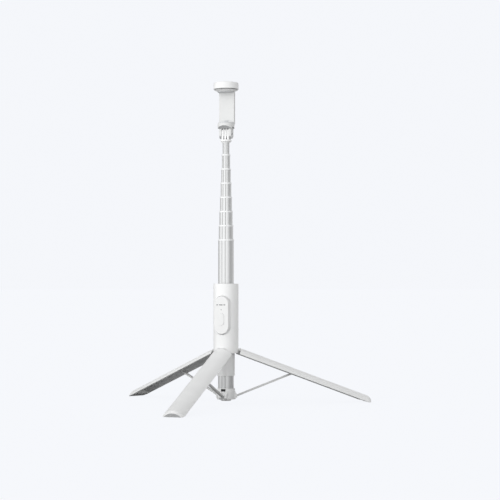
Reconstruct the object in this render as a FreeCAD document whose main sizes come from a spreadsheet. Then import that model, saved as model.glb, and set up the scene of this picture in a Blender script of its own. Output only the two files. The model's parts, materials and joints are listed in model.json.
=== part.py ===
"""Selfie stick with a folding tripod foot: eight telescoping tubes, a phone clamp and a clip-on remote.

Millimetres and degrees, +Z up, the pole's axis on Z, the floor at Z = 0 and the front at -Y.
The shape is the open pose: three legs spread, the tubes partly drawn out, the phone clamp upright.
"""

import FreeCAD, Part
import Sketcher
import os

doc = FreeCAD.newDocument("selfie_stick")
FRONT, RIGHT, LEFT = 0, 120, -120
SIDES = {"front": FRONT, "right": RIGHT, "left": LEFT}

DIMENSIONS = [
    # folding foot: the leg's hinge, its strut pin and the hub's pin form one isosceles triangle per leg
    ("leg_angle", "69.5"),
    ("link", "106.5"),
    ("pin_circle", "15.8"),
    ("hinge_z", "87.5"),
    ("hub_z", "=hinge_z - 2 * link * cos(leg_angle * 1 deg)"),
    ("pin_radius", "1"),
    ("boss_radius", "2.1"),
    ("running", "0.05"),
    # handle
    ("grip_radius", "20"),
    ("grip_wall", "1.8"),
    ("grip_inner", "=grip_radius - grip_wall"),
    ("grip_bottom", "=hinge_z - 5.5"),
    ("grip_top", "192.5"),
    ("collar_height", "15"),
    ("lug_width", "8"),
    ("notch_width", "13"),
    ("sleeve_bottom", "45.8"),
    ("sleeve_top", "118"),
    ("sleeve_radius", "14"),
    ("sleeve_inner", "13.5"),
    # legs, measured down from the hinge with the leg closed
    ("leg_half_angle", "58.5"),
    ("leg_start", "6.3"),
    ("leg_shell_end", "227"),
    ("leg_end", "238"),
    ("strut_width", "4.4"),
    ("strut_thick", "2.4"),
    ("lug_thick", "2.4"),
    # tubes, the outermost first
    ("tube_radius", "12.5"),
    ("tube_step", "1"),
    ("tube_wall", "0.6"),
    ("tube_flat", "0.3"),
    ("tube_bottom", "25.8"),
    ("tube_top", "262.9"),
    ("exposed", "22.7"),
    ("tube_length", "222"),
    ("last_top", "418"),
    ("last_length", "218.2"),
    ("bush_length", "8"),
    ("collar_lip", "0.4"),
    # hub
    ("hub_radius", "17.9"),
    ("hub_bottom", "8.3"),
    ("hub_core", "14.4"),
    ("lobe_width", "13.6"),
    ("slot_width", "5.4"),
    ("slot_top", "25.1"),
    ("slot_floor", "13.5"),
    ("window_width", "7.7"),
    ("window_bottom", "21"),
    ("window_floor", "9"),
    # remote, a flat pill let into the grip, its sides sloping in from the split to the face
    ("remote_z", "142.4"),
    ("remote_width", "26"),
    ("remote_length", "61.5"),
    ("remote_face", "23"),
    ("remote_front", "23.5"),
    ("remote_split", "19"),
    ("remote_back", "15"),
    ("remote_wall", "1.2"),
    ("button_z", "135.8"),
    ("button_width", "9"),
    ("button_length", "19"),
    # phone clamp
    ("pan_bottom", "419.5"),
    ("pan_top", "423"),
    ("pan_radius", "8.7"),
    ("tilt_z", "431.2"),
    ("tilt_y", "1"),
    ("prong_pitch", "4.6"),
    ("prong_width", "2.8"),
    ("fork_width", "20"),
    ("fork_radius", "6.5"),
    ("prong_reach", "9.3"),
    ("jaw_radius", "13.4"),
    ("jaw_top", "449"),
    ("plate_width", "25"),
    ("plate_front", "2"),
    ("plate_back", "8.3"),
    ("plate_top", "500"),
    ("cap_radius", "20"),
    ("cap_bottom", "500.3"),
    ("cap_top", "514.6"),
]

sheet = doc.addObject("Spreadsheet::Sheet", "d")
for row, (alias, value) in enumerate(DIMENSIONS, start=1):
    sheet.set(f"A{row}", alias)
    sheet.set(f"B{row}", value)
    sheet.setAlias(f"B{row}", alias)
doc.recompute()

AXES = {
    "X": FreeCAD.Rotation(FreeCAD.Vector(0, 1, 0), 90),
    "Y": FreeCAD.Rotation(FreeCAD.Vector(1, 0, 0), -90),
    "Z": FreeCAD.Rotation(),
}


def new(kind, name):
    """A document object whose Label is its name."""
    made = doc.addObject(kind, name)
    made.Label = name
    return made


def rod(name, radius, start, end, axis="Z", centre=(0, 0)):
    """A cylinder along one axis; centre is where that axis line runs in the other two coordinates."""
    made = new("Part::Cylinder", name)
    made.Placement.Rotation = AXES[axis]
    across = dict(zip([c for c in "XYZ" if c != axis], centre))
    across[axis] = start
    made.setExpression("Radius", f"{radius}")
    made.setExpression("Height", f"({end}) - ({start})")
    for letter, value in across.items():
        made.setExpression(f"Placement.Base.{letter.lower()}", f"{value}")
    return made


def block(name, x, y, z):
    """A box from three (from, to) pairs."""
    made = new("Part::Box", name)
    for letter, size, (low, high) in zip("xyz", ("Length", "Width", "Height"), (x, y, z)):
        made.setExpression(size, f"({high}) - ({low})")
        made.setExpression(f"Placement.Base.{letter}", f"{low}")
    return made


def cut(name, base, *tools):
    """The base less every tool."""
    if len(tools) > 1:
        tools = [fuse(name + "_tools", *tools)]
    made = new("Part::Cut", name)
    made.Base = base
    made.Tool = tools[0]
    return made


def fuse(name, *solids):
    """One solid from several that overlap or touch."""
    made = new("Part::MultiFuse", name)
    made.Shapes = list(solids)
    return made


def common(name, *solids):
    """What all the solids share."""
    made = new("Part::MultiCommon", name)
    made.Shapes = list(solids)
    return made


def group(name, *solids):
    """Several loose solids kept as one piece."""
    made = new("Part::Compound", name)
    made.Links = list(solids)
    return made


def around(made, azimuth):
    """The shape carried round the pole's axis from the front to another side."""
    carried = group(made.Name + "_carried", made)
    carried.setExpression(
        "Placement", f"placement(vector(0; 0; 0); rotation(vector(0; 0; 1); {azimuth}))",
    )
    return carried


def profile(body, plane, points):
    """A closed polygon on one of the body's planes, every corner held by two dimensions."""
    sketch = body.newObject("Sketcher::SketchObject", body.Name + "_profile")
    support = [f for f in body.Origin.OriginFeatures if f.Role == plane][0]
    sketch.AttachmentSupport = [(support, "")]
    sketch.MapMode = "FlatFace"
    values = [[float(sheet.evalExpression(f"({text}) * 1")) for text in point] for point in points]
    for here, there in zip(values, values[1:] + values[:1]):
        sketch.addGeometry(Part.LineSegment(FreeCAD.Vector(*here, 0), FreeCAD.Vector(*there, 0)))
    for i in range(len(points)):
        sketch.addConstraint(Sketcher.Constraint("Coincident", i, 2, (i + 1) % len(points), 1))
    for i, point in enumerate(points):
        for kind, text, value in zip(("DistanceX", "DistanceY"), point, values[i]):
            at = sketch.addConstraint(Sketcher.Constraint(kind, -1, 1, i, 1, value))
            sketch.setExpression(f"Constraints[{at}]", f"{text}")
    return sketch


def turned(name, points):
    """A body turned about Z from (radius, height) corners."""
    body = new("PartDesign::Body", name)
    sketch = profile(body, "XZ_Plane", points)
    feature = body.newObject("PartDesign::Revolution", name + "_turn")
    feature.Profile = sketch
    feature.ReferenceAxis = (sketch, ["V_Axis"])
    feature.Angle = 360
    body.Tip = feature
    return body


def padded(name, plane, points, width):
    """A body as wide as stated, half on each side of its plane."""
    body = new("PartDesign::Body", name)
    sketch = profile(body, plane, points)
    feature = body.newObject("PartDesign::Pad", name + "_pad")
    feature.Profile = sketch
    feature.SideType = "Symmetric"
    feature.setExpression("Length", f"{width}")
    body.Tip = feature
    return body


def flat_rod(name, radius, start, end):
    """A rod on the pole's axis with the tubes' narrow front flat, which stops a tube from turning."""
    whole = rod(name + "_round", radius, start, end)
    face = f"-({radius}) + d.tube_flat"
    front = block(
        name + "_front", (f"-({radius})", radius), (f"-({radius}) - 1", face),
        (f"{start} - 1", f"{end} + 1"),
    )
    return cut(name, whole, front)


def pill(name, width, length, z, front, back):
    """An upright pill shape; front and back are distances before the pole's axis."""
    half = f"({width}) / 2"
    reach = f"(({length}) - ({width})) / 2"
    ends = [
        rod(f"{name}_end_{i}", half, f"-({front})", f"-({back})", "Y", (0, f"{z} {sign} {reach}"))
        for i, sign in enumerate("+-")
    ]
    span = (f"{z} - {reach}", f"{z} + {reach}")
    middle = block(name + "_middle", (f"-{half}", half), (f"-({front})", f"-({back})"), span)
    return fuse(name, middle, *ends)


pieces = []


def keep(made):
    """Marks a finished piece, which gets a file of its own."""
    pieces.append(made)
    return made


# ------------------------------ handle
shell = cut(
    "grip_tube",
    rod("grip_outside", "d.grip_radius", "d.grip_bottom", "d.grip_top"),
    rod("grip_inside", "d.grip_inner", "d.grip_bottom - 1", "d.grip_top + 1"),
)
notches = [
    around(
        block(
            f"grip_notch_{side}",
            ("-d.notch_width / 2", "d.notch_width / 2"),
            ("-d.grip_radius - 1", "-d.pin_circle"),
            ("d.grip_bottom - 1", "d.hinge_z + 2.4"),
        ),
        azimuth,
    )
    for side, azimuth in SIDES.items()
]
window = pill(
    "grip_window", "d.remote_width + 0.6", "d.remote_length + 0.6", "d.remote_z", "d.remote_front",
    "d.remote_back",
)
keep(cut("handle_shell", shell, window, *notches))

sleeve = turned(
    "sleeve_body",
    [
        ("d.sleeve_inner - 1.5", "d.sleeve_bottom"),
        ("d.sleeve_radius", "d.sleeve_bottom"),
        ("d.sleeve_radius", "d.grip_bottom"),
        ("d.sleeve_inner", "d.grip_bottom"),
        ("d.sleeve_inner", "d.sleeve_top"),
        ("d.sleeve_inner - 1.5", "d.sleeve_top"),
    ],
)
bore = flat_rod("sleeve_bore", "d.tube_radius + 0.3", "d.sleeve_bottom - 1", "d.sleeve_top + 1")
keep(cut("slide_sleeve", sleeve, bore))

ring = cut(
    "collar_ring",
    rod("collar_outside", "d.grip_inner", "d.grip_bottom", "d.grip_bottom + d.collar_height"),
    rod("collar_inside", "d.sleeve_inner", "d.grip_bottom - 1", "d.grip_bottom + d.collar_height + 1"),
)
slots = []
screws = []
hinge_pins = []
for side, azimuth in SIDES.items():
    slot = block(
        f"collar_slot_{side}",
        ("-d.lug_width / 2 - 0.4", "d.lug_width / 2 + 0.4"),
        ("-d.grip_radius", "-d.sleeve_inner"),
        ("d.grip_bottom - 1", "d.hinge_z + 4"),
    )
    pin = rod(f"leg_pin_{side}", "d.pin_radius", "-7", "7", "X", ("-d.pin_circle", "d.hinge_z"))
    shank = rod(
        f"screw_shank_{side}", "0.9", "d.grip_bottom", "d.grip_bottom + 10", "Z", (0, "d.pin_circle"),
    )
    head = rod(
        f"screw_head_{side}", "1.7", "d.grip_bottom - 1.8", "d.grip_bottom", "Z", (0, "d.pin_circle"),
    )
    recess = block(
        f"screw_recess_{side}", (-1.2, 1.2), ("d.pin_circle - 0.3", "d.pin_circle + 0.3"),
        ("d.grip_bottom - 2", "d.grip_bottom - 1.1"),
    )
    slots.append(around(slot, azimuth))
    hinge_pins.append(around(pin, azimuth))
    screw = fuse(f"screw_{side}", shank, head)
    screws.append(around(cut(f"collar_screw_{side}", screw, recess), azimuth))
keep(group("handle_fasteners", *hinge_pins, *screws))
keep(cut("leg_collar", ring, *slots, *hinge_pins, *screws))

cup = pill(
    "cradle_outside", "d.remote_width + 4", "d.remote_length + 4", "d.remote_z", "d.grip_inner",
    "d.remote_back - 1",
)
recess = pill(
    "cradle_recess", "d.remote_width + 0.6", "d.remote_length + 0.6", "d.remote_z", "d.remote_front",
    "d.remote_back",
)
limit = rod("cradle_limit", "d.grip_inner", "d.sleeve_bottom", "d.grip_top")
keep(cut("remote_cradle", common("cradle_body", cup, limit), recess))

# ------------------------------ remote
inner_width = "d.remote_face - 2 * d.remote_wall"
inner_length = "d.remote_length - d.remote_width + d.remote_face - 2 * d.remote_wall"


def lens(name):
    """The remote's front half, a pill whose sides slope in from the split to the face."""
    reach = "(d.remote_length - d.remote_width) / 2"
    ends = []
    for i, sign in enumerate("+-"):
        end = new("Part::Cone", f"{name}_end_{i}")
        end.Placement.Rotation = AXES["Y"]
        end.setExpression("Radius1", "d.remote_face / 2")
        end.setExpression("Radius2", "d.remote_width / 2")
        end.setExpression("Height", "d.remote_front - d.remote_split")
        end.setExpression("Placement.Base.y", "-d.remote_front")
        end.setExpression("Placement.Base.z", f"d.remote_z {sign} {reach}")
        ends.append(end)
    middle = padded(
        name + "_middle",
        "XY_Plane",
        [
            ("-d.remote_face / 2", "-d.remote_front"),
            ("d.remote_face / 2", "-d.remote_front"),
            ("d.remote_width / 2", "-d.remote_split"),
            ("-d.remote_width / 2", "-d.remote_split"),
        ],
        f"2 * {reach}",
    )
    middle.setExpression("Placement.Base.z", "d.remote_z")
    return fuse(name, middle, *ends)


button_hole = pill(
    "button_hole", "d.button_width + 0.3", "d.button_length + 0.3", "d.button_z", "d.remote_front + 1",
    "d.remote_split",
)
front_room = pill(
    "front_room", inner_width, inner_length, "d.remote_z", "d.remote_front - d.remote_wall",
    "d.remote_split - 1",
)
light_z = "d.remote_z + 8.7"
light = rod("status_light", "0.7", "-d.remote_front", "-d.remote_split - 0.9", "Y", (0, light_z))
keep(cut("remote_front_case", lens("front_blank"), front_room, button_hole, light))
keep(light)

back_blank = pill(
    "back_blank", "d.remote_width", "d.remote_length", "d.remote_z", "d.remote_split", "d.remote_back",
)
back_room = pill(
    "back_room", inner_width, inner_length, "d.remote_z", "d.remote_split + 1",
    "d.remote_back + d.remote_wall",
)
keep(cut("remote_back_case", back_blank, back_room))

board = block(
    "board",
    (f"-({inner_width}) / 2", f"({inner_width}) / 2"),
    ("-d.remote_split - 0.9", "-d.remote_split + 0.1"),
    ("d.remote_z - 17.5", "d.remote_z + 17.5"),
)
dome = rod("switch_dome", "2", "-d.remote_split - 1.7", "-d.remote_split - 0.9", "Y", (0, "d.button_z"))
keep(fuse("remote_pcb", board, dome))
keep(rod(
    "coin_cell", "8", "-d.remote_split + 0.1", "-d.remote_back - d.remote_wall", "Y", (0, "d.remote_z"),
))

cap_face = pill(
    "button_cap", "d.button_width", "d.button_length", "d.button_z", "d.remote_front + 0.7",
    "d.remote_front - 1.3",
)
flange = pill(
    "button_flange", "d.button_width + 1.6", "d.button_length + 1.6", "d.button_z",
    "d.remote_front - 1.3", "d.remote_front - 2.1",
)
keep(fuse("shutter_button", cap_face, flange))

# ------------------------------ legs, made closed about the hinge, then swung open
AXIS_Y = "d.pin_circle"


def swung(made, azimuth):
    """Carries a leg piece from its closed place about the hinge to the opened leg of one side."""
    hinge = f"rotation(vector(0; 0; 1); {azimuth}) * vector(0; -d.pin_circle; d.hinge_z)"
    turn = f"rotation(vector(0; 0; 1); {azimuth}) * rotation(vector(1; 0; 0); -d.leg_angle)"
    made.setExpression("Placement", f"placement({hinge}; {turn})")
    return made


def wedge(name, radius, start, end):
    """The sector of a cylinder about the pole's axis that one closed leg takes up."""
    made = rod(name, radius, start, end, "Z", (0, AXIS_Y))
    made.setExpression("Angle", "2 * d.leg_half_angle")
    made.Placement.Rotation = FreeCAD.Rotation(FreeCAD.Vector(0, 0, 1), -90)
    made.setExpression("Placement.Rotation.Angle", "270 - d.leg_half_angle")
    return made


def leg(side, azimuth):
    """One leg: its channel with the root lug, its tip, the strut's bracket and the strut's pin."""
    arc = cut(
        f"leg_arc_{side}",
        wedge(f"leg_sector_{side}", "d.grip_radius", "-d.leg_shell_end", "-d.leg_start"),
        rod(f"leg_hollow_{side}", "d.grip_inner", "-d.leg_end - 1", 0, "Z", (0, AXIS_Y)),
    )
    half_lug = "d.lug_width / 2"
    web = block(f"leg_web_{side}", (f"-{half_lug}", half_lug), (-3, 0), (-22, 0))
    boss = rod(f"leg_boss_{side}", "d.boss_radius", f"-{half_lug}", half_lug, "X")
    bore = rod(f"leg_bore_{side}", "d.pin_radius + d.running", -6, 6, "X")
    shell = cut(f"leg_shell_{side}", fuse(f"leg_blank_{side}", arc, web, boss), bore)
    keep(swung(shell, azimuth))

    nose = turned(
        f"tip_profile_{side}",
        [
            ("0", "-d.leg_shell_end + 6"),
            ("d.grip_inner", "-d.leg_shell_end + 6"),
            ("d.grip_inner", "-d.leg_shell_end"),
            ("d.grip_radius", "-d.leg_shell_end"),
            ("d.grip_radius", "-d.leg_end + 6"),
            ("d.grip_radius - 0.7", "-d.leg_end + 3.2"),
            ("d.grip_radius - 2.5", "-d.leg_end"),
            ("0", "-d.leg_end"),
        ],
    )
    nose.setExpression("Placement.Base.y", AXIS_Y)
    chord = "d.pin_circle - d.grip_radius * cos(d.leg_half_angle * 1 deg)"
    solid_side = block(
        f"tip_side_{side}",
        ("-d.grip_radius", "d.grip_radius"),
        ("-d.grip_radius", chord),
        ("-d.leg_end - 1", "-d.leg_shell_end + 7"),
    )
    tip = swung(common(f"tip_blank_{side}", nose, solid_side), azimuth)
    floor = block(f"tip_floor_{side}", (-300, 300), (-300, 300), (-30, 0))
    keep(cut(f"leg_tip_{side}", tip, floor))

    gap = "d.strut_width / 2 + 0.1"
    outer = f"{gap} + d.lug_thick"
    foot = block(
        f"bracket_foot_{side}", (f"-({outer}) - 1", f"{outer} + 1"), (-3, -1.4),
        ("-d.link - 9", "-d.link + 9"),
    )
    lugs = [
        padded(
            f"bracket_lug_{side}_{i}",
            "YZ_Plane",
            [
                ("-3", "-d.link - 6"),
                ("-3", "-d.link + 6"),
                ("0.6", "-d.link + 2"),
                ("2", "-d.link + 0.7"),
                ("2", "-d.link - 0.7"),
                ("0.6", "-d.link - 2"),
            ],
            "d.lug_thick",
        )
        for i in range(2)
    ]
    for lug, sign in zip(lugs, ("", "-")):
        lug.setExpression("Placement.Base.x", f"{sign}({gap} + d.lug_thick / 2)")
    relief = rod(
        f"bracket_relief_{side}", "d.boss_radius + 0.15", f"-({gap})", gap, "X", (0, "-d.link"),
    )
    pin = rod(f"strut_pin_rod_{side}", "d.pin_radius", f"-({outer})", outer, "X", (0, "-d.link"))
    inside = rod(f"bracket_limit_{side}", "d.grip_inner", "-d.leg_end", 0, "Z", (0, AXIS_Y))
    blank = common(f"bracket_blank_{side}", fuse(f"bracket_sum_{side}", foot, *lugs), inside)
    keep(swung(cut(f"leg_bracket_{side}", blank, relief, pin), azimuth))
    keep(swung(group(f"strut_pin_{side}", pin), azimuth))


def strut(side, azimuth):
    """A flat link from the hub's pin up to the leg's bracket."""
    half = "d.strut_width / 2"
    bar = block(
        f"strut_bar_{side}", (f"-{half}", half), ("-d.strut_thick / 2", "d.strut_thick / 2"),
        (0, "d.link"),
    )
    ends = []
    bores = []
    for i, z in enumerate(("0", "d.link")):
        ends.append(rod(f"strut_end_{side}_{i}", "d.boss_radius", f"-{half}", half, "X", (0, z)))
        bores.append(rod(f"strut_bore_{side}_{i}", "d.pin_radius + d.running", -5, 5, "X", (0, z)))
    rib = block(
        f"strut_rib_{side}", (-1.2, 1.2), ("d.strut_thick / 2", "d.strut_thick / 2 + 0.5"),
        (6, "d.link - 6"),
    )
    made = cut(f"strut_{side}", fuse(f"strut_blank_{side}", bar, rib, *ends), *bores)
    base = f"rotation(vector(0; 0; 1); {azimuth}) * vector(0; -d.pin_circle; d.hub_z)"
    turn = f"rotation(vector(0; 0; 1); {azimuth}) * rotation(vector(1; 0; 0); d.leg_angle)"
    made.setExpression("Placement", f"placement({base}; {turn})")
    keep(made)


for side, azimuth in SIDES.items():
    leg(side, azimuth)
    strut(side, azimuth)

# ------------------------------ hub at the foot of the pole
hub_blank = turned(
    "hub_blank",
    [
        ("0", "d.hub_bottom"),
        ("d.hub_radius - 3.4", "d.hub_bottom"),
        ("d.hub_radius", "d.hub_bottom + 2.4"),
        ("d.hub_radius", "d.hub_bottom + 6.7"),
        ("d.hub_radius - 2.2", "d.hub_bottom + 11"),
        ("d.tube_radius + 0.9", "d.tube_bottom - 1.5"),
        ("d.tube_radius + 0.9", "d.tube_bottom"),
        ("0", "d.tube_bottom"),
    ],
)
limits = [rod("hub_core", "d.hub_core", "d.hub_bottom - 1", "d.tube_bottom + 1")]
for side, azimuth in SIDES.items():
    lobe = block(
        f"hub_lobe_{side}",
        ("-d.lobe_width / 2", "d.lobe_width / 2"),
        ("-d.hub_radius - 1", "0"),
        ("d.hub_bottom - 1", "d.tube_bottom + 1"),
    )
    limits.append(around(lobe, azimuth))
hub_lobed = common("hub_lobed", hub_blank, fuse("hub_limits", *limits))
spigot = flat_rod(
    "hub_spigot", "d.tube_radius - d.tube_wall", "d.tube_bottom - 1", "d.tube_bottom + 12",
)
hub_slots = []
hub_pins = []
for side, azimuth in SIDES.items():
    slot = block(
        f"hub_slot_{side}",
        ("-d.slot_width / 2", "d.slot_width / 2"),
        ("-d.hub_radius - 1", "-d.slot_floor"),
        ("d.hub_bottom - 1", "d.slot_top"),
    )
    hub_slots.append(around(slot, azimuth))
    opening = block(
        f"hub_window_{side}",
        ("-d.window_width / 2", "d.window_width / 2"),
        ("-d.hub_radius - 1", "-d.window_floor"),
        ("d.window_bottom", "d.slot_top"),
    )
    hub_slots.append(around(opening, azimuth))
    pin = rod(f"hub_pin_{side}", "d.pin_radius", "-6.4", "6.4", "X", ("-d.pin_circle", "d.hub_z"))
    hub_pins.append(around(pin, azimuth))
screw_hole = rod("hub_screw_hole", "1.5", "d.hub_bottom - 1", "d.hub_bottom + 10")
keep(cut("hub", fuse("hub_solid", hub_lobed, spigot), screw_hole, *hub_slots, *hub_pins))
foot_disc = turned(
    "foot_disc",
    [
        ("0", "d.hub_bottom - 2.4"),
        ("7.2", "d.hub_bottom - 2.4"),
        ("8.6", "d.hub_bottom - 1.4"),
        ("8.6", "d.hub_bottom"),
        ("0", "d.hub_bottom"),
    ],
)
screw_room = rod("foot_screw_room", "3", "d.hub_bottom - 5", "d.hub_bottom - 0.6")
screw_way = rod("foot_screw_way", "1.5", "d.hub_bottom - 5", "d.hub_bottom + 1")
keep(cut("hub_foot", foot_disc, screw_room, screw_way))
hub_screw = fuse(
    "hub_screw_solid",
    rod("hub_screw_shank", "1.5", "d.hub_bottom - 0.7", "d.hub_bottom + 10"),
    rod("hub_screw_head", "2.8", "d.hub_bottom - 2.1", "d.hub_bottom - 0.6"),
)
cross = [
    block("hub_screw_cross_x", (-1.8, 1.8), (-0.35, 0.35), ("d.hub_bottom - 3", "d.hub_bottom - 1.5")),
    block("hub_screw_cross_y", (-0.35, 0.35), (-1.8, 1.8), ("d.hub_bottom - 3", "d.hub_bottom - 1.5")),
]
keep(group("hub_fasteners", *hub_pins, cut("hub_screw", hub_screw, *cross)))

# ------------------------------ telescoping tubes, 8 the outermost and 1 the innermost
TUBES = range(8, 0, -1)
radius = {n: f"(d.tube_radius - {8 - n} * d.tube_step)" for n in TUBES}
top = {n: f"(d.tube_top + {8 - n} * d.exposed)" for n in TUBES}
bottom = {n: f"({top[n]} - d.tube_length)" for n in TUBES}
top[1] = "d.last_top"
bottom[1] = "(d.last_top - d.last_length)"
bottom[8] = "d.tube_bottom"

for n in TUBES:
    outside = flat_rod(f"tube_outside_{n}", radius[n], bottom[n], top[n])
    inside = flat_rod(
        f"tube_inside_{n}", f"{radius[n]} - d.tube_wall", f"{bottom[n]} - 1", f"{top[n]} + 1",
    )
    tube = keep(cut(f"tube_{n}", outside, inside))
    rings = []
    if n > 1:
        lip = rod(f"collar_lip_{n}", f"{radius[n]} + d.collar_lip", f"{top[n]} - 2", f"{top[n]} + 0.4")
        bush = flat_rod(
            f"collar_bush_{n}", f"{radius[n]} - d.tube_wall", f"{top[n]} - d.bush_length", top[n],
        )
        run = flat_rod(
            f"collar_run_{n}", f"{radius[n - 1]} + d.running", f"{top[n]} - d.bush_length - 1",
            f"{top[n]} + 2",
        )
        rings.append(cut(f"collar_{n}", fuse(f"collar_blank_{n}", lip, bush), run, tube))
    if n < 8:
        slide = flat_rod(
            f"glide_outside_{n}",
            f"{radius[n + 1]} - d.tube_wall - d.running",
            bottom[n],
            f"{bottom[n]} + d.bush_length",
        )
        grip = flat_rod(
            f"glide_inside_{n}", radius[n], f"{bottom[n]} - 1", f"{bottom[n]} + d.bush_length + 1",
        )
        rings.append(cut(f"glide_{n}", slide, grip))
    keep(group(f"tube_{n}_bushes", *rings))

plug = fuse(
    "plug_blank",
    flat_rod("plug_spigot", f"{radius[1]} - d.tube_wall", "d.last_top - 11", "d.last_top"),
    rod("plug_flange", f"{radius[1]} + 0.7", "d.last_top", "d.pan_bottom - 0.1"),
)
keep(cut("tube_top_plug", plug, rod("plug_bore", "3.05", "d.last_top - 12", "d.pan_bottom + 1")))

# ------------------------------ head: turns on the plug, three prongs for the tilt hinge
disc = turned(
    "pan_disc",
    [
        ("0", "d.pan_bottom"),
        ("d.pan_radius - 0.7", "d.pan_bottom"),
        ("d.pan_radius", "d.pan_bottom + 0.7"),
        ("d.pan_radius", "d.pan_top - 0.6"),
        ("d.pan_radius - 0.6", "d.pan_top"),
        ("0", "d.pan_top"),
    ],
)
stem = rod("pan_stem", "3", "d.last_top - 11.1", "d.pan_top")


def prong(name, at, width, radius_of, low, high):
    """An upright plate round the tilt pin, from the height low to high and rounded about the pin."""
    half = f"({width}) / 2"
    eye = rod(
        f"{name}_eye", radius_of, f"{at} - {half}", f"{at} + {half}", "X", ("d.tilt_y", "d.tilt_z"),
    )
    across = (f"d.tilt_y - ({radius_of})", f"d.tilt_y + {radius_of}")
    plate = block(f"{name}_plate", (f"{at} - {half}", f"{at} + {half}"), across, (low, high))
    return fuse(name, plate, eye)


prongs = []
for i in range(3):
    upright = padded(
        f"pan_prong_{i}",
        "YZ_Plane",
        [
            ("d.tilt_y - d.fork_radius + 1", "d.pan_top - 0.5"),
            ("d.tilt_y + d.fork_radius - 1", "d.pan_top - 0.5"),
            ("d.tilt_y + d.fork_radius - 1", "d.tilt_z + d.prong_reach - 2"),
            ("d.tilt_y + 2.6", "d.tilt_z + d.prong_reach"),
            ("d.tilt_y - 2.6", "d.tilt_z + d.prong_reach"),
            ("d.tilt_y - d.fork_radius + 1", "d.tilt_z + d.prong_reach - 2"),
        ],
        "d.prong_width",
    )
    upright.setExpression("Placement.Base.x", f"{i - 1} * d.prong_pitch")
    prongs.append(upright)
pin_hole = rod("pan_pin_hole", "1.5 + d.running", -12, 12, "X", ("d.tilt_y", "d.tilt_z"))
screw_bore = rod("pan_screw_bore", "1.1", "d.last_top - 12", "d.last_top")
keep(cut("pan_base", fuse("pan_solid", disc, stem, *prongs), pin_hole, screw_bore))
keep(
    fuse(
        "pan_screw",
        rod("pan_screw_shank", "1.1", "d.last_top - 11.1", "d.last_top"),
        rod("pan_screw_head", "3.9", "d.last_top - 12.9", "d.last_top - 11.1"),
    )
)

# ------------------------------ clamp: fork, lower jaw and back plate
jaw = padded(
    "jaw_profile",
    "YZ_Plane",
    [
        ("-d.jaw_radius - 1", "d.jaw_top - 3.4"),
        ("-d.jaw_radius - 1", "d.jaw_top"),
        ("d.jaw_radius + 1", "d.jaw_top"),
        ("d.jaw_radius + 1", "d.jaw_top - 9"),
        ("-5.4", "d.jaw_top - 5.6"),
        ("-6", "d.jaw_top - 8.6"),
    ],
    "2 * d.jaw_radius + 2",
)
jaw_round = rod("jaw_round", "d.jaw_radius", "d.jaw_top - 12", "d.jaw_top + 2")
jaw_disc = common("jaw_disc", jaw, jaw_round)
half_fork = "d.fork_width / 2"
cheek_from = "(d.prong_pitch + d.prong_width / 2 + 0.1)"
cheek_width = f"{half_fork} - {cheek_from}"
inner_width_of = "d.prong_pitch - d.prong_width - 0.2"
cheeks = []
for i, sign in enumerate(("", "-")):
    outer_at = f"{sign}({half_fork} + {cheek_from}) / 2"
    cheeks.append(prong(
        f"fork_cheek_{i}", outer_at, cheek_width, "d.fork_radius", "d.tilt_z", "d.jaw_top - 5",
    ))
    inner_at = f"{sign}d.prong_pitch / 2"
    cheeks.append(prong(
        f"fork_rib_{i}", inner_at, inner_width_of, "d.fork_radius - 0.4", "d.tilt_z", "d.jaw_top - 5",
    ))
plate_z = ("d.jaw_top - 2", "d.plate_top")
plate = block(
    "plate_block", ("-d.plate_width / 2", "d.plate_width / 2"), ("d.plate_front", "d.plate_back - 1.5"),
    plate_z,
)
room = block(
    "plate_room", (-10.7, 10.7), ("d.plate_front + 1.4", "d.plate_back"),
    ("d.jaw_top + 2", "d.plate_top + 1"),
)
tilt_pin = rod(
    "tilt_shank", "1.5", f"-({half_fork}) + 0.6", f"{half_fork} - 0.6", "X", ("d.tilt_y", "d.tilt_z"),
)
tilt_head = rod(
    "tilt_head", "3", f"{half_fork} - 1.8", f"{half_fork} - 0.2", "X", ("d.tilt_y", "d.tilt_z"),
)
nut_blank = rod(
    "tilt_nut_blank", "3", f"-({half_fork}) + 0.2", f"-({half_fork}) + 2", "X",
    ("d.tilt_y", "d.tilt_z"),
)
pegs = [
    rod(f"spring_peg_{i}", "0.7", "d.plate_front + 1", "d.plate_back - 1.5", "Y", (x, "d.jaw_top + 4"))
    for i, x in enumerate(("5.25", "-5.25"))
]
pin_solid = fuse("tilt_pin_solid", tilt_pin, tilt_head)
hex_slot = rod(
    "tilt_hex", "1.2", f"{half_fork} - 1.2", f"{half_fork} + 1", "X", ("d.tilt_y", "d.tilt_z"),
)
keep(group("tilt_bolt", cut("tilt_pin", pin_solid, hex_slot), cut("tilt_nut", nut_blank, tilt_pin)))
clear_pin = rod("fork_pin_way", "1.5", "-12", "12", "X", ("d.tilt_y", "d.tilt_z"))
clear_head = rod(
    "fork_head_way", "3", f"{half_fork} - 1.8", f"{half_fork} + 1", "X", ("d.tilt_y", "d.tilt_z"),
)
clear_nut = rod(
    "fork_nut_way", "3", f"-({half_fork}) - 1", f"-({half_fork}) + 2", "X", ("d.tilt_y", "d.tilt_z"),
)
tray = cut("plate_tray", plate, room)
clamp = fuse("clamp_solid", jaw_disc, tray, *cheeks, *pegs)
keep(cut("clamp_body", clamp, clear_pin, clear_head, clear_nut))
cover_low = "d.jaw_top"
cover = block(
    "cover_block", ("-d.plate_width / 2", "d.plate_width / 2"), ("d.plate_back - 1.5", "d.plate_back"),
    (cover_low, "d.plate_top"),
)
cover_screws = [
    rod(f"cover_screw_{i}", "1.6", "d.plate_back - 0.6", "d.plate_back + 1", "Y", (0, z))
    for i, z in enumerate(("d.jaw_top + 6", "d.plate_top - 6"))
]
keep(cut("clamp_back_cover", cover, *cover_screws))
pad_disc = rod("lower_pad_disc", "d.jaw_radius - 0.6", "d.jaw_top", "d.jaw_top + 1.2")
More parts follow.
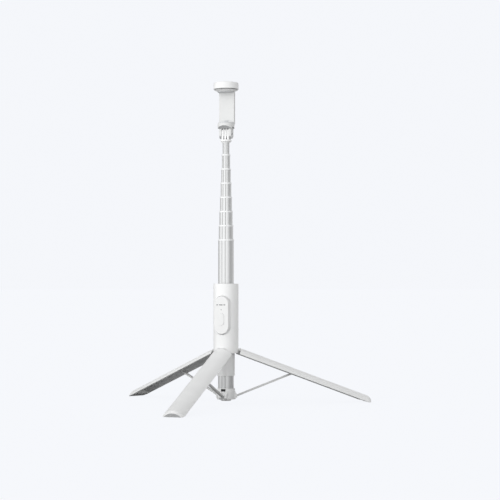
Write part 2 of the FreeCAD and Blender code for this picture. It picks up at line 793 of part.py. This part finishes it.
pad_limit = block("lower_pad_limit", (-20, 20), (-20, "d.plate_front"), ("d.jaw_top", "d.jaw_top + 2"))
stop = block(
    "phone_stop", (-3.2, 3.2), ("d.plate_front - 1.1", "d.plate_front"),
    ("d.jaw_top + 1.2", "d.jaw_top + 5.2"),
)
keep(fuse("lower_pad", common("lower_pad_sheet", pad_disc, pad_limit), stop))

# ------------------------------ slider: comb inside the plate, with the top jaw
comb_y = ("d.plate_front + 1.6", "d.plate_back - 1.7")
bars = [
    block("comb_bar", (-10.5, 10.5), comb_y, ("d.plate_top - 6", "d.cap_bottom + 2")),
    block("comb_left", (-10.5, -8.3), comb_y, ("d.jaw_top + 3", "d.plate_top - 6")),
    block("comb_middle", (-2.2, 2.2), comb_y, ("d.jaw_top + 3", "d.plate_top - 6")),
    block("comb_right", (8.3, 10.5), comb_y, ("d.jaw_top + 3", "d.plate_top - 6")),
]
comb = keep(fuse("slider_comb", *bars))
jaw_cap = turned(
    "top_jaw_blank",
    [
        ("0", "d.cap_bottom"),
        ("d.cap_radius - 6", "d.cap_bottom"),
        ("d.cap_radius - 1", "d.cap_bottom + 2.4"),
        ("d.cap_radius - 2.6", "d.cap_bottom + 2.6"),
        ("d.cap_radius - 2.6", "d.cap_bottom + 3.8"),
        ("d.cap_radius", "d.cap_bottom + 3.8"),
        ("d.cap_radius", "d.cap_top - 1.6"),
        ("d.cap_radius - 0.5", "d.cap_top - 0.5"),
        ("d.cap_radius - 1.6", "d.cap_top"),
        ("0", "d.cap_top"),
    ],
)
comb_way = block("comb_way", (-10.5, 10.5), comb_y, ("d.cap_bottom - 1", "d.cap_bottom + 2"))
keep(cut("top_jaw", jaw_cap, comb_way))
top_pad_disc = rod("top_pad_disc", "d.cap_radius - 6.6", "d.cap_bottom - 1.2", "d.cap_bottom")
top_pad_limit = block(
    "top_pad_limit", (-20, 20), (-20, "d.plate_front - 0.3"), ("d.cap_bottom - 2", "d.cap_bottom"),
)
keep(common("top_pad", top_pad_disc, top_pad_limit))


def spring(name, x):
    """A tension spring from its peg up to the comb."""
    path = new("Part::Helix", name + "_path")
    path.Pitch = 2
    path.setExpression("Height", "d.plate_top - d.jaw_top - 13")
    path.Radius = 1
    section = new("Part::Circle", name + "_wire")
    section.Radius = 0.25
    section.Placement = FreeCAD.Placement(FreeCAD.Vector(1, 0, 0), AXES["Y"])
    made = new("Part::Sweep", name)
    made.Sections = [section]
    made.Spine = (path, ["Edge1"])
    made.Solid = True
    made.Frenet = True
    made.setExpression("Placement.Base.x", f"{x}")
    made.setExpression("Placement.Base.y", "(d.plate_front + d.plate_back) / 2")
    made.setExpression("Placement.Base.z", "d.jaw_top + 6")
    return made


keep(group("clamp_springs", spring("spring_right", "5.25"), spring("spring_left", "-5.25")))

# ------------------------------ check and write
doc.recompute()
for item in doc.Objects:
    if "Invalid" in item.State or "Error" in item.State:
        raise RuntimeError(f"{item.Label} did not rebuild: {item.State}")
os.makedirs("parts", exist_ok=True)
for piece in pieces:
    if piece.Shape.isNull() or not piece.Shape.isValid() or not piece.Shape.Solids:
        raise RuntimeError(f"{piece.Label} is not a valid solid")
    piece.Shape.exportStep(f"parts/{piece.Label}.step")
    print(piece.Label, len(piece.Shape.Solids), round(piece.Shape.Volume, 1))
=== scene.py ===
import json
import math
import bpy
import bmesh
from mathutils import Vector, Matrix


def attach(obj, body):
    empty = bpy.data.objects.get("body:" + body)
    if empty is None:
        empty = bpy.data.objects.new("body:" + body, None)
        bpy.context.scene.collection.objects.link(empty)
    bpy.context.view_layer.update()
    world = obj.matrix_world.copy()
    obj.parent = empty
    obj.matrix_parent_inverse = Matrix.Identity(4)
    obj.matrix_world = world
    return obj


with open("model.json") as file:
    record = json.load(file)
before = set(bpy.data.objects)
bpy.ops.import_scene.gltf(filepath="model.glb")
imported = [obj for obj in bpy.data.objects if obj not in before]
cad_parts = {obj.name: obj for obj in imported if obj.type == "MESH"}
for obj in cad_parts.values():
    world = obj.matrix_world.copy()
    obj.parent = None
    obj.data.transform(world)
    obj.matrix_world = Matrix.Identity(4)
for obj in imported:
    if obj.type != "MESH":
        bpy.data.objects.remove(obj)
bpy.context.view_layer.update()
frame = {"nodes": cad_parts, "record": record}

nodes = frame["nodes"]

# ------------------------------------------------------------ camera
# 18 degrees round from the front, the eye near the handle's top and pitched up a little
AZIMUTH, PITCH = math.radians(18.0), math.radians(1.35)
DISTANCE, EYE, ASIDE = 2.304, 0.192, 0.0384
SENSOR, FOCAL_PIXELS, PHOTO_PIXELS = 36, 1440, 500
right = Vector((math.cos(AZIMUTH), math.sin(AZIMUTH), 0))
toward = Vector((math.sin(AZIMUTH), -math.cos(AZIMUTH), 0))
camera = bpy.data.objects.new("camera", bpy.data.cameras.new("camera"))
camera.data.sensor_width = SENSOR
camera.data.lens = SENSOR * FOCAL_PIXELS / PHOTO_PIXELS
camera.data.clip_start = 0.01
camera.data.clip_end = 50
camera.location = toward * DISTANCE + right * ASIDE + Vector((0, 0, EYE))
camera.rotation_euler = (math.pi / 2 + PITCH, 0, AZIMUTH)
bpy.context.scene.collection.objects.link(camera)
bpy.context.scene.camera = camera
bpy.context.scene.view_settings.view_transform = "Standard"

# ------------------------------------------------------------ shader nodes
# most of a noise texture's values lie between these two
NOISE_LOW, NOISE_HIGH = 0.3, 0.7


def graph(name, color, rough, metal=0.0):
    material = bpy.data.materials.new(name)
    material.use_nodes = True
    tree = material.node_tree
    shader = tree.nodes["Principled BSDF"]
    shader.inputs["Base Color"].default_value = (*color, 1)
    shader.inputs["Roughness"].default_value = rough
    shader.inputs["Metallic"].default_value = metal
    return material, tree, shader


def add(tree, kind, **values):
    """A node with its named sockets or settings filled in."""
    node = tree.nodes.new(kind)
    for key, value in values.items():
        if key in node.inputs:
            node.inputs[key].default_value = value
        else:
            setattr(node, key, value)
    return node


def noise(tree, scale, stretch=(1, 1, 1), detail=4, rough=0.55):
    place = add(tree, "ShaderNodeTexCoord")
    mapping = add(tree, "ShaderNodeMapping", Scale=stretch)
    tree.links.new(place.outputs["Object"], mapping.inputs["Vector"])
    made = add(tree, "ShaderNodeTexNoise", Scale=scale, Detail=detail, Roughness=rough)
    tree.links.new(mapping.outputs["Vector"], made.inputs["Vector"])
    return made.outputs["Fac"]


def ramp(tree, source, stops):
    made = tree.nodes.new("ShaderNodeValToRGB")
    line = made.color_ramp
    while len(line.elements) < len(stops):
        line.elements.new(0.5)
    for element, (at, color) in zip(line.elements, stops):
        element.position = at
        element.color = (*color, 1)
    tree.links.new(source, made.inputs["Fac"])
    return made.outputs["Color"]


def grey_ramp(tree, source, stops):
    return ramp(tree, source, [(at, (value,) * 3) for at, value in stops])


def mottle(tree, source, color, low, high):
    """The colour, darker by one factor where the noise is low and lighter by another where it is high."""
    ends = [tuple(min(1, c * factor) for c in color) for factor in (low, high)]
    return ramp(tree, source, list(zip((NOISE_LOW, NOISE_HIGH), ends)))


def remap(tree, source, *ends, **values):
    """A map range node; the ends are its from-low, from-high, to-low and to-high."""
    made = add(tree, "ShaderNodeMapRange", **values)
    for socket, value in zip(("From Min", "From Max", "To Min", "To Max"), ends):
        made.inputs[socket].default_value = value
    tree.links.new(source, made.inputs["Value"])
    return made.outputs["Result"]


def arithmetic(tree, operation, *values):
    """One math node whose inputs are numbers or other nodes' outputs."""
    made = add(tree, "ShaderNodeMath", operation=operation)
    for socket, value in zip(made.inputs, values):
        if isinstance(value, (int, float)):
            socket.default_value = value
        else:
            tree.links.new(value, socket)
    return made.outputs["Value"]


def bump(tree, shader, source, strength, distance):
    made = add(tree, "ShaderNodeBump", Strength=strength, Distance=distance)
    tree.links.new(source, made.inputs["Height"])
    tree.links.new(made.outputs["Normal"], shader.inputs["Normal"])


# ------------------------------------------------------------ materials
# how far each tube's narrow front flat is cut in
TUBE_FLAT = 0.0003
# a score line is full up to the first distance from the flat's edge and gone at the second
SCORE_CORE, SCORE_EDGE = 0.0002, 0.0006
# its painted shade as a share of the metal's tone, and its height in the bump beside the drawn lines'
SCORE_SHADE_TONE, SCORE_HEIGHT = 0.3, -2.0


def plastic(name, color, rough, grain=2600, depth=0.00003, coat=0.0, strength=0.25):
    """Moulded plastic: fine spark grain, cloudy gloss and a faint change of tone."""
    material, tree, shader = graph(name, color, rough)
    tree.links.new(mottle(tree, noise(tree, 26, detail=5), color, 0.965, 1.015), shader.inputs["Base Color"])
    cloud = remap(tree, noise(tree, 90), NOISE_LOW, NOISE_HIGH, rough - 0.05, rough + 0.07)
    tree.links.new(cloud, shader.inputs["Roughness"])
    bump(tree, shader, noise(tree, grain, detail=3), strength, depth)
    shader.inputs["Coat Weight"].default_value = coat
    shader.inputs["Coat Roughness"].default_value = 0.12
    return material


def shade_faced_plastic(name, color, rough, direction, limit, face_shade_color):
    """Plastic with a greyer tone on the faces that look one way, such as an underside: partly greyer plastic,
    partly painted shade.

    The limit is the least cosine between such a face's normal and the direction.
    """
    material = plastic(name, color, rough, coat=0.08)
    tree = material.node_tree
    shader = tree.nodes["Principled BSDF"]
    facing = add(tree, "ShaderNodeVectorMath", operation="DOT_PRODUCT")
    facing.inputs[1].default_value = direction
    tree.links.new(add(tree, "ShaderNodeTexCoord").outputs["Normal"], facing.inputs[0])
    # faces that look the given way get the greyer tone, partly painted shade
    face = arithmetic(tree, "GREATER_THAN", facing.outputs["Value"], limit)
    tone = add(tree, "ShaderNodeMix", data_type="RGBA", blend_type="MIX")
    tree.links.new(face, tone.inputs["Factor"])
    tree.links.new(shader.inputs["Base Color"].links[0].from_socket, tone.inputs["A"])
    tree.links.new(mottle(tree, noise(tree, 500, detail=3), face_shade_color, 0.94, 1.06), tone.inputs["B"])
    tree.links.new(tone.outputs["Result"], shader.inputs["Base Color"])
    return material


def brushed(name, color, rough, metal, along=(1, 1, 0.02), scale=900):
    """Drawn metal: long fine lines along the piece that change its tone, gloss and height."""
    material, tree, shader = graph(name, color, rough, metal)
    lines = noise(tree, scale, along, detail=6, rough=0.7)
    tree.links.new(mottle(tree, lines, color, 0.93, 1.04), shader.inputs["Base Color"])
    gloss = remap(tree, lines, NOISE_LOW, NOISE_HIGH, rough - 0.06, rough + 0.1)
    tree.links.new(gloss, shader.inputs["Roughness"])
    bump(tree, shader, lines, 0.15, 0.00002)
    shader.inputs["Anisotropic"].default_value = 0.4
    return material


def tube_metal(name, color, rough, metal):
    """Drawn tube with a scored line down each edge of its narrow front flat, darkened by painted shade."""
    material, tree, shader = graph(name, color, rough, metal)
    lines = noise(tree, 900, (1, 1, 0.02), detail=6, rough=0.7)
    place = add(tree, "ShaderNodeTexCoord")
    split = add(tree, "ShaderNodeSeparateXYZ")
    tree.links.new(place.outputs["Object"], split.inputs["Vector"])
    x, y = split.outputs["X"], split.outputs["Y"]
    # half the flat's width, which follows from the tube's radius and the depth of the cut
    square = arithmetic(tree, "ADD", arithmetic(tree, "MULTIPLY", x, x), arithmetic(tree, "MULTIPLY", y, y))
    reach = arithmetic(
        tree, "MULTIPLY_ADD", arithmetic(tree, "SQRT", square), 2 * TUBE_FLAT, -TUBE_FLAT * TUBE_FLAT
    )
    half = arithmetic(tree, "SQRT", arithmetic(tree, "MAXIMUM", reach, 0.0))
    off = arithmetic(tree, "ABSOLUTE", arithmetic(tree, "SUBTRACT", arithmetic(tree, "ABSOLUTE", x), half))
    near = remap(tree, off, SCORE_CORE, SCORE_EDGE, 1.0, 0.0, interpolation_type="SMOOTHSTEP")
    score = arithmetic(tree, "MULTIPLY", near, arithmetic(tree, "LESS_THAN", y, 0.0))
    # the score lines are darkened with painted shade
    tone = add(tree, "ShaderNodeMix", data_type="RGBA", blend_type="MIX")
    tone.inputs["B"].default_value = (*(c * SCORE_SHADE_TONE for c in color), 1)
    tree.links.new(score, tone.inputs["Factor"])
    tree.links.new(mottle(tree, lines, color, 0.95, 1.03), tone.inputs["A"])
    tree.links.new(tone.outputs["Result"], shader.inputs["Base Color"])
    gloss = remap(tree, lines, NOISE_LOW, NOISE_HIGH, rough - 0.05, rough + 0.08)
    tree.links.new(gloss, shader.inputs["Roughness"])
    bump(tree, shader, arithmetic(tree, "MULTIPLY_ADD", score, SCORE_HEIGHT, lines), 0.2, 0.00003)
    shader.inputs["Anisotropic"].default_value = 0.3
    return material


WHITE, SATIN = (0.9, 0.9, 0.9), 0.38
GLOSS_WHITE = (0.83, 0.83, 0.828)
# the clamp's white is greyer than the handle's, partly painted shade from the cap above it; its downward
# faces are greyer still, partly greyer plastic and partly painted shade
CLAMP_WHITE, CLAMP_UNDER_SHADE = (0.74, 0.742, 0.74), (0.45, 0.455, 0.46)
materials = {
    "white_plastic": plastic("satin_white_plastic", WHITE, SATIN, coat=0.1),
    "white_gloss": plastic("polished_white_plastic", GLOSS_WHITE, 0.2, grain=1500, depth=0.00001, coat=0.35),
    "silver_tube": tube_metal("drawn_silver_tube", (0.68, 0.684, 0.686), 0.34, 0.6),
    "clamp_plastic": shade_faced_plastic("clamp_plastic", CLAMP_WHITE, 0.42, (0, 0, -1), 0.4, CLAMP_UNDER_SHADE),
    "white_bush": plastic("white_bush_plastic", (0.88, 0.885, 0.89), 0.35, coat=0.2),
    "grey_steel": brushed("grey_strip_steel", (0.7, 0.702, 0.7), 0.42, 0.3, scale=700),
    "steel_pin": brushed("turned_pin_steel", (0.55, 0.55, 0.56), 0.25, 1.0, along=(0.05, 1, 1), scale=1500),
    "soft_grey": plastic("soft_grey_pad", (0.62, 0.63, 0.64), 0.7, grain=900, depth=0.00012, strength=0.5),
    "board_green": plastic("lacquered_board", (0.03, 0.16, 0.07), 0.3, grain=400, depth=0.00005),
    "cell_steel": brushed("cell_can_steel", (0.66, 0.66, 0.67), 0.25, 1.0, along=(1, 0.1, 1)),
    "light_lens": plastic("smoked_lens", (0.12, 0.125, 0.14), 0.12, grain=500, coat=0.8),
}
slots = {part["node"]: part["material_slot"] for part in frame["record"]["subparts"]}
slots["clamp_body"] = slots["clamp_back_cover"] = "clamp_plastic"

# each leg's underside and its outer end are greyer, partly greyer plastic and partly painted shade, so every
# leg has materials for its own directions
LEG_ANGLE = math.radians(69.5)
SIDES = {"front": 0.0, "right": math.radians(120), "left": math.radians(240)}
LEG_UNDER_SHADE, LEG_END_SHADE = (0.6, 0.603, 0.606), (0.6, 0.605, 0.61)
for side, azimuth in SIDES.items():
    outward = Vector((math.sin(azimuth), -math.cos(azimuth), 0))
    up = Vector((0, 0, 1))
    under_leg = -outward * math.cos(LEG_ANGLE) - up * math.sin(LEG_ANGLE)
    along_leg = outward * math.sin(LEG_ANGLE) - up * math.cos(LEG_ANGLE)
    slots[f"leg_shell_{side}"] = f"shell_{side}"
    slots[f"leg_tip_{side}"] = f"tip_{side}"
    materials[f"shell_{side}"] = shade_faced_plastic(
        f"shell_plastic_{side}", WHITE, SATIN, under_leg, 0.15, LEG_UNDER_SHADE
    )
    materials[f"tip_{side}"] = shade_faced_plastic(f"tip_plastic_{side}", WHITE, SATIN, along_leg, 0.98, LEG_END_SHADE)
for name, node in nodes.items():
    if not node.data.materials:
        node.data.materials.append(None)
    for index in range(len(node.data.materials)):
        node.data.materials[index] = materials[slots[name]]


# ------------------------------------------------------------ small details
def detail(name, shape, body, slot, material):
    """A separate small piece that rides on one body."""
    mesh = bpy.data.meshes.new(name)
    bmesh.ops.recalc_face_normals(shape, faces=shape.faces)
    shape.to_mesh(mesh)
    shape.free()
    mesh.materials.append(material)
    piece = bpy.data.objects.new(name, mesh)
    bpy.context.scene.collection.objects.link(piece)
    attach(piece, body)


def turns(steps):
    """The angles of the points round one circle."""
    return [math.tau * i / steps for i in range(steps)]


def bridge(shape, loops):
    """Faces between each loop of points and the next, all of one length."""
    for a, b in zip(loops, loops[1:]):
        for i in range(len(a)):
            j = (i + 1) % len(a)
            shape.faces.new((a[i], a[j], b[j], b[i]))


def rounded_slab(width, height, depth, radius, steps=6):
    """A slab standing in XZ, its corners round and its front edge softened, its back at y = 0."""
    shape = bmesh.new()
    outline = []
    for cx, cz, start in ((1, 1, 0), (-1, 1, 90), (-1, -1, 180), (1, -1, 270)):
        for i in range(steps + 1):
            angle = math.radians(start + 90 * i / steps)
            corner = (cx * (width / 2 - radius), cz * (height / 2 - radius))
            outline.append((*corner, math.cos(angle), math.sin(angle)))
    loops = []
    for y, grow in ((0, 0), (-depth * 0.6, 0), (-depth, -depth * 0.4)):
        loops.append([
            shape.verts.new((x + c * (radius + grow), y, z + s * (radius + grow))) for x, z, c, s in outline
        ])
    bridge(shape, loops)
    shape.faces.new(loops[0])
    shape.faces.new(loops[-1])
    return shape


# a generic mark without lettering on the remote: a dot, a bar and a short dash, each with its x and width
MARKS = (("mark_dot", -0.0068, 0.0026), ("mark_bar", -0.0006, 0.0062), ("mark_dash", 0.0053, 0.0032))
MARK_HEIGHT, MARK_DEPTH, MARK_CORNER = 0.0013, 0.00008, 0.0005
REMOTE_FACE, MARK_GAP, MARK_Z = -0.0235, 0.00001, 0.1588
ink = plastic("printed_ink", (0.12, 0.12, 0.125), 0.5, grain=1200)
for name, x, width in MARKS:
    shape = rounded_slab(width, MARK_HEIGHT, MARK_DEPTH, MARK_CORNER)
    bmesh.ops.translate(shape, verts=shape.verts, vec=(x, REMOTE_FACE - MARK_GAP, MARK_Z))
    detail(name, shape, "remote", "light_lens", ink)

# painted shade: dark sheets at the bottom of the hub's three windows stand in for the shade inside them
SHADE_FILL_WIDTH, SHADE_FILL_HEIGHT, SHADE_FILL_DEPTH, SHADE_FILL_CORNER = 0.0072, 0.0036, 0.0004, 0.0003
SHADE_FILL_Y, SHADE_FILL_Z = -0.0134, 0.02305
dark_shade_fill = plastic("window_painted_shade", (0.035, 0.035, 0.037), 0.6, grain=700)
for side, azimuth in SIDES.items():
    shape = rounded_slab(SHADE_FILL_WIDTH, SHADE_FILL_HEIGHT, SHADE_FILL_DEPTH, SHADE_FILL_CORNER)
    bmesh.ops.translate(shape, verts=shape.verts, vec=(0, SHADE_FILL_Y, SHADE_FILL_Z))
    bmesh.ops.rotate(shape, verts=shape.verts, cent=(0, 0, 0), matrix=Matrix.Rotation(azimuth, 3, "Z"))
    detail(f"window_painted_shade_{side}", shape, "pole", "soft_grey", dark_shade_fill)

# a soft ring in the groove round the top jaw, its dark grey painted shade of the groove, from its section's
# radii and heights
RING_STEPS = 96
SECTION = ((0.0174, 0.50295), (0.01795, 0.5031), (0.01805, 0.5035), (0.01795, 0.5039), (0.0174, 0.50405))
groove_shade_ring = plastic("groove_shade_rubber", (0.34, 0.343, 0.347), 0.75, grain=900, depth=0.00008)
shape = bmesh.new()
loops = [
    [shape.verts.new((radius * math.cos(a), radius * math.sin(a), z)) for a in turns(RING_STEPS)]
    for radius, z in SECTION
]
bridge(shape, loops + loops[:1])
detail("top_jaw_ring", shape, "upper_jaw", "soft_grey", groove_shade_ring)

# cross-head screws in the two recesses of the clamp's back cover; the profile is (share of radius, y)
SCREWS = (("cover_screw_low", 0.455), ("cover_screw_high", 0.494))
SCREW_STEPS, SCREW_HEAD = 32, 0.0015
CROSS_ARM, CROSS_CORE, CROSS_LIMIT, CROSS_FLOOR = 0.45, 0.16, 0.8, 0.0079
PROFILE = ((1.0, 0.00772), (1.0, 0.00805), (0.8, 0.0082), (CROSS_ARM, 0.00826))
for name, z in SCREWS:
    shape = bmesh.new()
    loops = []
    for share, y in PROFILE:
        radius = SCREW_HEAD * share
        loops.append([
            shape.verts.new((radius * math.cos(a), y, z + radius * math.sin(a))) for a in turns(SCREW_STEPS)
        ])
    # the cross: its floor reaches out to the rim along two arms and stays near the middle between them
    cross = []
    for a in turns(SCREW_STEPS):
        reach = SCREW_HEAD * (CROSS_ARM if abs(math.cos(2 * a)) > CROSS_LIMIT else CROSS_CORE)
        cross.append(shape.verts.new((reach * math.cos(a), CROSS_FLOOR, z + reach * math.sin(a))))
    bridge(shape, loops + [cross])
    shape.faces.new(loops[0])
    shape.faces.new(cross)
    detail(name, shape, "clamp", "steel_pin", materials["steel_pin"])


# ------------------------------------------------------------ floor and studio light
def set_down(name, shape, material):
    """A piece of the studio made from one shape and one material."""
    mesh = bpy.data.meshes.new(name)
    shape.to_mesh(mesh)
    shape.free()
    mesh.materials.append(material)
    piece = bpy.data.objects.new(name, mesh)
    bpy.context.scene.collection.objects.link(piece)
    return piece


# the floor only shows the backdrop's colour: it neither lights the object nor is mirrored in it
BACKDROP, FLOOR_GLOW, FLOOR_HALF = (0.912, 0.927, 0.962), 0.97, 60
pale_floor, floor_tree, floor_shader = graph("pale_floor", (0.05, 0.05, 0.05), 1.0)
floor_shader.inputs["Specular IOR Level"].default_value = 0
floor_shader.inputs["Emission Color"].default_value = (*BACKDROP, 1)
floor_shader.inputs["Emission Strength"].default_value = FLOOR_GLOW
shape = bmesh.new()
bmesh.ops.create_grid(shape, x_segments=1, y_segments=1, size=FLOOR_HALF)
floor = set_down("floor", shape, pale_floor)
floor.visible_diffuse = False
floor.visible_glossy = False

# a grey card just below the floor, unseen by the camera, sets how much light comes up at the legs:
# palest beside the front leg, darkest in a ring round that spot and middling farther out
CARD_RADIUS, CARD_Z, CARD_SPOT = 0.42, -0.001, (0.05, -0.12, 0)
CARD_STOPS = ((0.06, 0.7), (0.14, 0.28), (0.26, 0.5))
grey_card, card_tree, card_shader = graph("grey_card", (0.3, 0.3, 0.3), 1.0)
spot = add(card_tree, "ShaderNodeVectorMath", operation="DISTANCE")
spot.inputs[1].default_value = CARD_SPOT
card_tree.links.new(add(card_tree, "ShaderNodeTexCoord").outputs["Object"], spot.inputs[0])
card_tree.links.new(grey_ramp(card_tree, spot.outputs["Value"], CARD_STOPS), card_shader.inputs["Base Color"])
shape = bmesh.new()
bmesh.ops.create_circle(shape, cap_ends=True, segments=64, radius=CARD_RADIUS)
card = set_down("card", shape, grey_card)
card.location.z = CARD_Z
card.visible_camera = False

# a ring of soft boxes round the object: RING is the light by height, ROUND by nearness to the key side
POWER, TINT = 1.6, (0.992, 0.998, 1.0)
RING = ((0.0, 0.25), (0.25, 0.55), (0.42, 0.95), (0.5, 1.0), (0.72, 0.95), (0.9, 0.8))
ROUND = (
    (0.0, 0.62), (0.14, 0.42), (0.28, 0.24), (0.45, 0.22), (0.55, 0.38), (0.66, 0.76), (0.8, 1.02), (1.0, 1.0)
)
KEY_SIDE = toward * 0.82 - right * 0.57
world = bpy.data.worlds.new("studio")
bpy.context.scene.world = world
world.use_nodes = True
sky = world.node_tree
background = sky.nodes["Background"]


def along(direction):
    """How far the looked-at part of the studio lies in one direction, from 0 (opposite) to 1."""
    look = add(sky, "ShaderNodeTexCoord")
    dot = add(sky, "ShaderNodeVectorMath", operation="DOT_PRODUCT")
    dot.inputs[1].default_value = Vector(direction).normalized()
    sky.links.new(look.outputs["Generated"], dot.inputs[0])
    return arithmetic(sky, "MULTIPLY_ADD", dot.outputs["Value"], 0.5, 0.5)


by_height = grey_ramp(sky, along((0, 0, 1)), RING)
by_side = grey_ramp(sky, along(KEY_SIDE), ROUND)
level = arithmetic(sky, "MULTIPLY", by_height, arithmetic(sky, "MULTIPLY", by_side, POWER))
sky.links.new(level, background.inputs["Strength"])
background.inputs["Color"].default_value = (*TINT, 1)
backdrop = add(sky, "ShaderNodeBackground")
backdrop.inputs["Color"].default_value = (*BACKDROP, 1)
ray = add(sky, "ShaderNodeLightPath")
seen = add(sky, "ShaderNodeMixShader")
sky.links.new(ray.outputs["Is Camera Ray"], seen.inputs[0])
sky.links.new(background.outputs["Background"], seen.inputs[1])
sky.links.new(backdrop.outputs["Background"], seen.inputs[2])
sky.links.new(seen.outputs["Shader"], sky.nodes["World Output"].inputs["Surface"])
